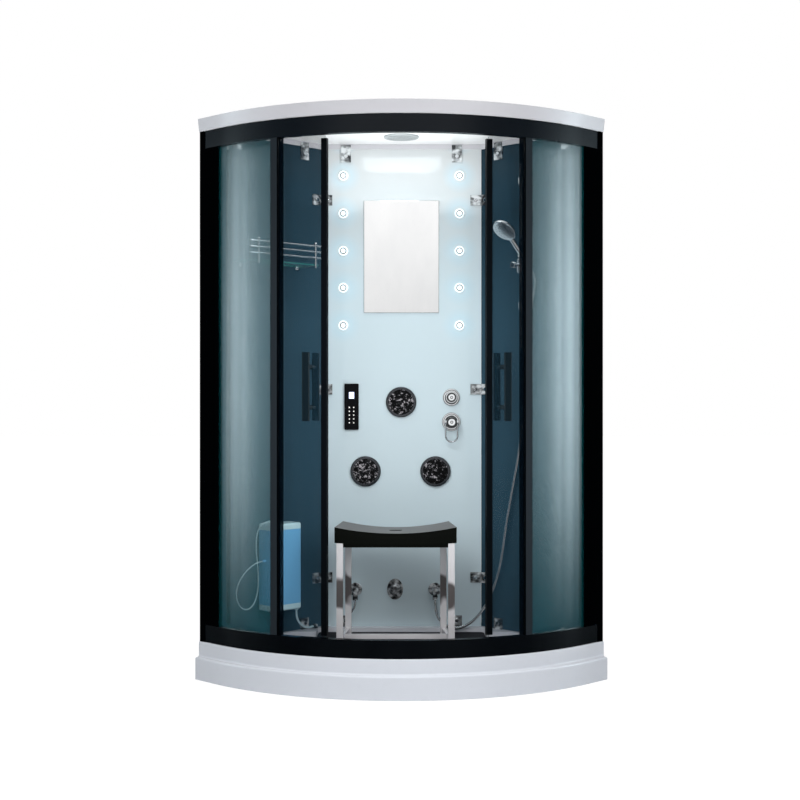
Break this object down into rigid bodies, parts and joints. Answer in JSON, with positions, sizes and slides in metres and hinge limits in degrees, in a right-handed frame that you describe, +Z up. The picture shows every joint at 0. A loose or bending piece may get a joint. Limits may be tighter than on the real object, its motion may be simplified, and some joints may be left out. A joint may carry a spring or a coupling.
{
  "type": "steam shower cabin",
  "caption": "Quadrant corner steam shower cabin with sliding curved glass doors, tray, roof, wall jets, mixer, hand shower, steam generator, shelf and stool",
  "frame": {"origin": "on the floor, under the middle of the cabin's box", "axes": "+Z up, +Y towards the room's corner, -Y the curved front, +X to the right seen from the front"},
  "size_m": [1.5782, 1.1658, 2.15],
  "materials": {
    "white_tray": "smooth glossy gel coat",
    "white_cover": "smooth satin moulding",
    "board_grey": "fine grained slats",
    "black_rail": "glossy black lacquer",
    "dark_post": "glossy black stile, dark grey strip",
    "smoke_glass": "lightly tinted toughened glass",
    "dark_glass": "black back-painted glass",
    "white_glass": "pale back-painted glass",
    "chrome": "polished chrome",
    "steel_bare": "zinc plated",
    "blue_case": "glossy blue moulding",
    "blue_cap": "glossy pale blue moulding",
    "black_plastic": "glossy black",
    "grey_plastic": "matt moulding",
    "light_lens": "frosted lens",
    "jet_black": "black plated nozzle plate",
    "black_chrome": "dark polished plating",
    "mirror": "silvered glass",
    "brass": "cast brass",
    "copper": "drawn copper pipe",
    "hose_metal": "coiled metal hose",
    "rubber": "black rubber",
    "strip_black": "black strip with a soft lip",
    "pale_hose": "pale smooth hose",
    "seat_black": "black saddle with a satin top",
    "clear_glass": "clear toughened glass",
    "zinc": "galvanised tube"
  },
  "bodies": {
    "cabin": {"tray": "white_tray", "drain": "chrome", "tray_frame": "zinc", "levelling_feet": "steel_bare", "floor_board": "board_grey", "bottom_rail": "black_rail", "top_rail": "black_rail", "wall_posts": "dark_post", "mid_posts": "dark_post", "fixed_glass": "smoke_glass", "wall_glass": "dark_glass", "centre_panel": "white_glass", "roof": "white_cover", "ceiling_lamp": "light_lens", "rain_shower": "chrome", "ceiling_speaker": "white_cover", "glass_clips": "black_chrome", "clip_screws": "chrome", "mirror": "mirror", "wall_lights": "light_lens", "jet_bodies": "black_chrome", "jet_faces": "jet_black", "control_panel": "black_plastic", "control_box": "grey_plastic", "valve_body": "brass", "valve_rosettes": "chrome", "steam_outlet": "chrome", "hose_outlets": "chrome", "water_pipes": "copper", "slide_bar": "chrome", "bar_brackets": "chrome", "shower_hose": "hose_metal", "left_hose": "hose_metal", "generator_case": "blue_case", "generator_caps": "blue_cap", "generator_hose": "pale_hose", "generator_cable": "pale_hose", "shelf_plate": "clear_glass", "shelf_rails": "chrome"},
    "diverter": {"diverter_knob": "chrome"},
    "mixer_turret_body": {"mixer_turret": "chrome"},
    "mixer_lever_body": {"mixer_lever": "chrome"},
    "slider": {"shower_slider": "chrome"},
    "cradle": {"shower_cradle": "chrome"},
    "handset": {"hand_shower": "chrome"},
    "stool": {"stool_seat": "seat_black", "stool_frame": "chrome", "stool_feet": "rubber"},
    "left_door": {"left_door_glass": "smoke_glass", "left_door_strips": "strip_black", "left_door_handle": "black_chrome", "left_door_hangers": "chrome"},
    "left_front_wheel": {"left_front_roller": "grey_plastic"},
    "left_rear_wheel": {"left_rear_roller": "grey_plastic"},
    "right_door": {"right_door_glass": "smoke_glass", "right_door_strips": "strip_black", "right_door_handle": "black_chrome", "right_door_hangers": "chrome"},
    "right_front_wheel": {"right_front_roller": "grey_plastic"},
    "right_rear_wheel": {"right_rear_roller": "grey_plastic"}
  },
  "joints": [
    {"name": "left_door_slide", "type": "hinge", "parent": "cabin", "child": "left_door", "pos_m": [0, 0.41315, 1.1], "axis": [0, 0, 1], "range_deg": [-4.1, 17.1]},
    {"name": "left_front_roll", "type": "hinge", "parent": "left_door", "child": "left_front_wheel", "pos_m": [-0.31929, -0.4454, 2.0713], "axis": [-0.3486, -0.9373, 0], "continuous": true},
    {"name": "left_rear_roll", "type": "hinge", "parent": "left_door", "child": "left_rear_wheel", "pos_m": [-0.59732, -0.2813, 2.0713], "axis": [-0.6521, -0.7581, 0], "continuous": true},
    {"name": "right_door_slide", "type": "hinge", "parent": "cabin", "child": "right_door", "pos_m": [0, 0.41315, 1.1], "axis": [0, 0, 1], "range_deg": [-19.8, 1.4]},
    {"name": "right_front_roll", "type": "hinge", "parent": "right_door", "child": "right_front_wheel", "pos_m": [0.35938, -0.42941, 2.0713], "axis": [0.3923, -0.9198, 0], "continuous": true},
    {"name": "right_rear_roll", "type": "hinge", "parent": "right_door", "child": "right_rear_wheel", "pos_m": [0.62937, -0.25239, 2.0713], "axis": [0.6871, -0.7266, 0], "continuous": true},
    {"name": "diverter_turn", "type": "hinge", "parent": "cabin", "child": "diverter", "pos_m": [0.207, 0.2, 1.082], "axis": [0, -1, 0], "range_deg": [-60, 60]},
    {"name": "mixer_turn", "type": "hinge", "parent": "cabin", "child": "mixer_turret_body", "pos_m": [0.207, 0.2, 0.98], "axis": [0, -1, 0], "range_deg": [-45, 45]},
    {"name": "mixer_lift", "type": "hinge", "parent": "mixer_turret_body", "child": "mixer_lever_body", "pos_m": [0.207, 0.194, 0.98], "axis": [-1, 0, 0], "range_deg": [0, 28]},
    {"name": "slider_slide", "type": "slide", "parent": "cabin", "child": "slider", "axis": [0, 0, 1], "range_m": [-0.115, 0.295], "deforming": ["shower_hose"]},
    {"name": "cradle_tilt", "type": "hinge", "parent": "slider", "child": "cradle", "pos_m": [0.4971, 0.0009, 1.607], "axis": [0.7071, -0.7071, 0], "range_deg": [-18, 18]},
    {"name": "handset_turn", "type": "hinge", "parent": "cradle", "child": "handset", "pos_m": [0.49669, -0.02213, 1.62192], "axis": [-0.5255, -0.5255, 0.6691], "range_deg": [-40, 40]},
    {"name": "stool_lift", "type": "slide", "parent": "cabin", "child": "stool", "axis": [0, 0, 1], "range_m": [0, 0.2]}
  ],
  "couplings": [
    {"joint": "left_front_roll", "follows": "left_door_slide", "ratio": -98.49},
    {"joint": "left_rear_roll", "follows": "left_door_slide", "ratio": -98.49},
    {"joint": "right_front_roll", "follows": "right_door_slide", "ratio": -98.49},
    {"joint": "right_rear_roll", "follows": "right_door_slide", "ratio": -98.49}
  ]
}
